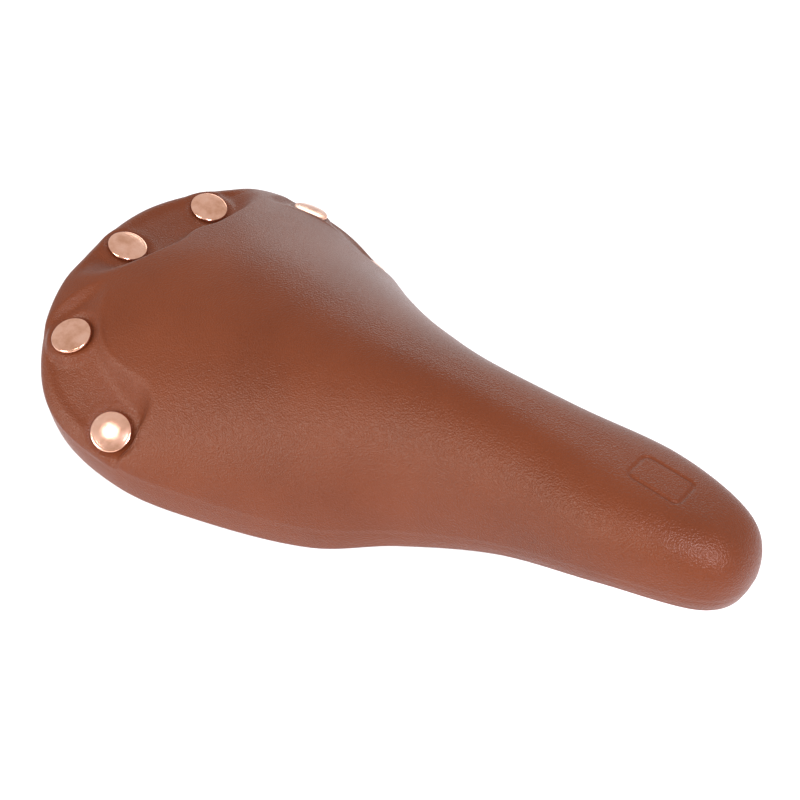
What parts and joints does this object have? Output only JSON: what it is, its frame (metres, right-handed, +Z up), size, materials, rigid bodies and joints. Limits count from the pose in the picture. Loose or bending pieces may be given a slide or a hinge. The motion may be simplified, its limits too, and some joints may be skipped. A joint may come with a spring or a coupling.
{
  "type": "bicycle saddle",
  "caption": "Padded bicycle saddle with a pear-shaped smooth leather-look cover, flat copper rivet heads round its rear edge, a moulded base and a bent-rod rail.",
  "frame": {"origin": "middle of the rails' straight clamp zone, on the plane of their centre lines", "axes": "+Z up, -Y towards the nose, +X towards the rider's left"},
  "size_m": [0.1606, 0.267, 0.0741],
  "materials": {
    "cover_leather": "smooth, lightly grained, satin",
    "foam": "open-cell foam",
    "nylon": "moulded, fine texture",
    "rail_steel": "satin",
    "copper": "polished copper plate",
    "zinc_steel": "zinc plated"
  },
  "bodies": {
    "root": {"base_shell": "nylon", "cover": "cover_leather", "foam_pad": "foam", "nose_cap": "nylon", "nose_screw": "zinc_steel", "nose_socket": "nylon", "rail": "rail_steel", "rear_left_cap": "nylon", "rear_left_screw_1": "zinc_steel", "rear_left_screw_2": "zinc_steel", "rear_left_socket": "nylon", "rear_right_cap": "nylon", "rear_right_screw_1": "zinc_steel", "rear_right_screw_2": "zinc_steel", "rear_right_socket": "nylon", "rivet_front_left": "copper", "rivet_front_right": "copper", "rivet_middle_left": "copper", "rivet_middle_right": "copper", "rivet_rear_left": "copper", "rivet_rear_right": "copper", "staple_left_1": "zinc_steel", "staple_left_2": "zinc_steel", "staple_left_3": "zinc_steel", "staple_left_4": "zinc_steel", "staple_left_5": "zinc_steel", "staple_left_6": "zinc_steel", "staple_left_7": "zinc_steel", "staple_left_8": "zinc_steel", "staple_left_9": "zinc_steel", "staple_left_10": "zinc_steel", "staple_left_11": "zinc_steel", "staple_left_12": "zinc_steel", "staple_right_1": "zinc_steel", "staple_right_2": "zinc_steel", "staple_right_3": "zinc_steel", "staple_right_4": "zinc_steel", "staple_right_5": "zinc_steel", "staple_right_6": "zinc_steel", "staple_right_7": "zinc_steel", "staple_right_8": "zinc_steel", "staple_right_9": "zinc_steel", "staple_right_10": "zinc_steel", "staple_right_11": "zinc_steel", "staple_right_12": "zinc_steel", "washer_front_left": "zinc_steel", "washer_front_right": "zinc_steel", "washer_middle_left": "zinc_steel", "washer_middle_right": "zinc_steel", "washer_rear_left": "zinc_steel", "washer_rear_right": "zinc_steel"}
  },
  "joints": []
}
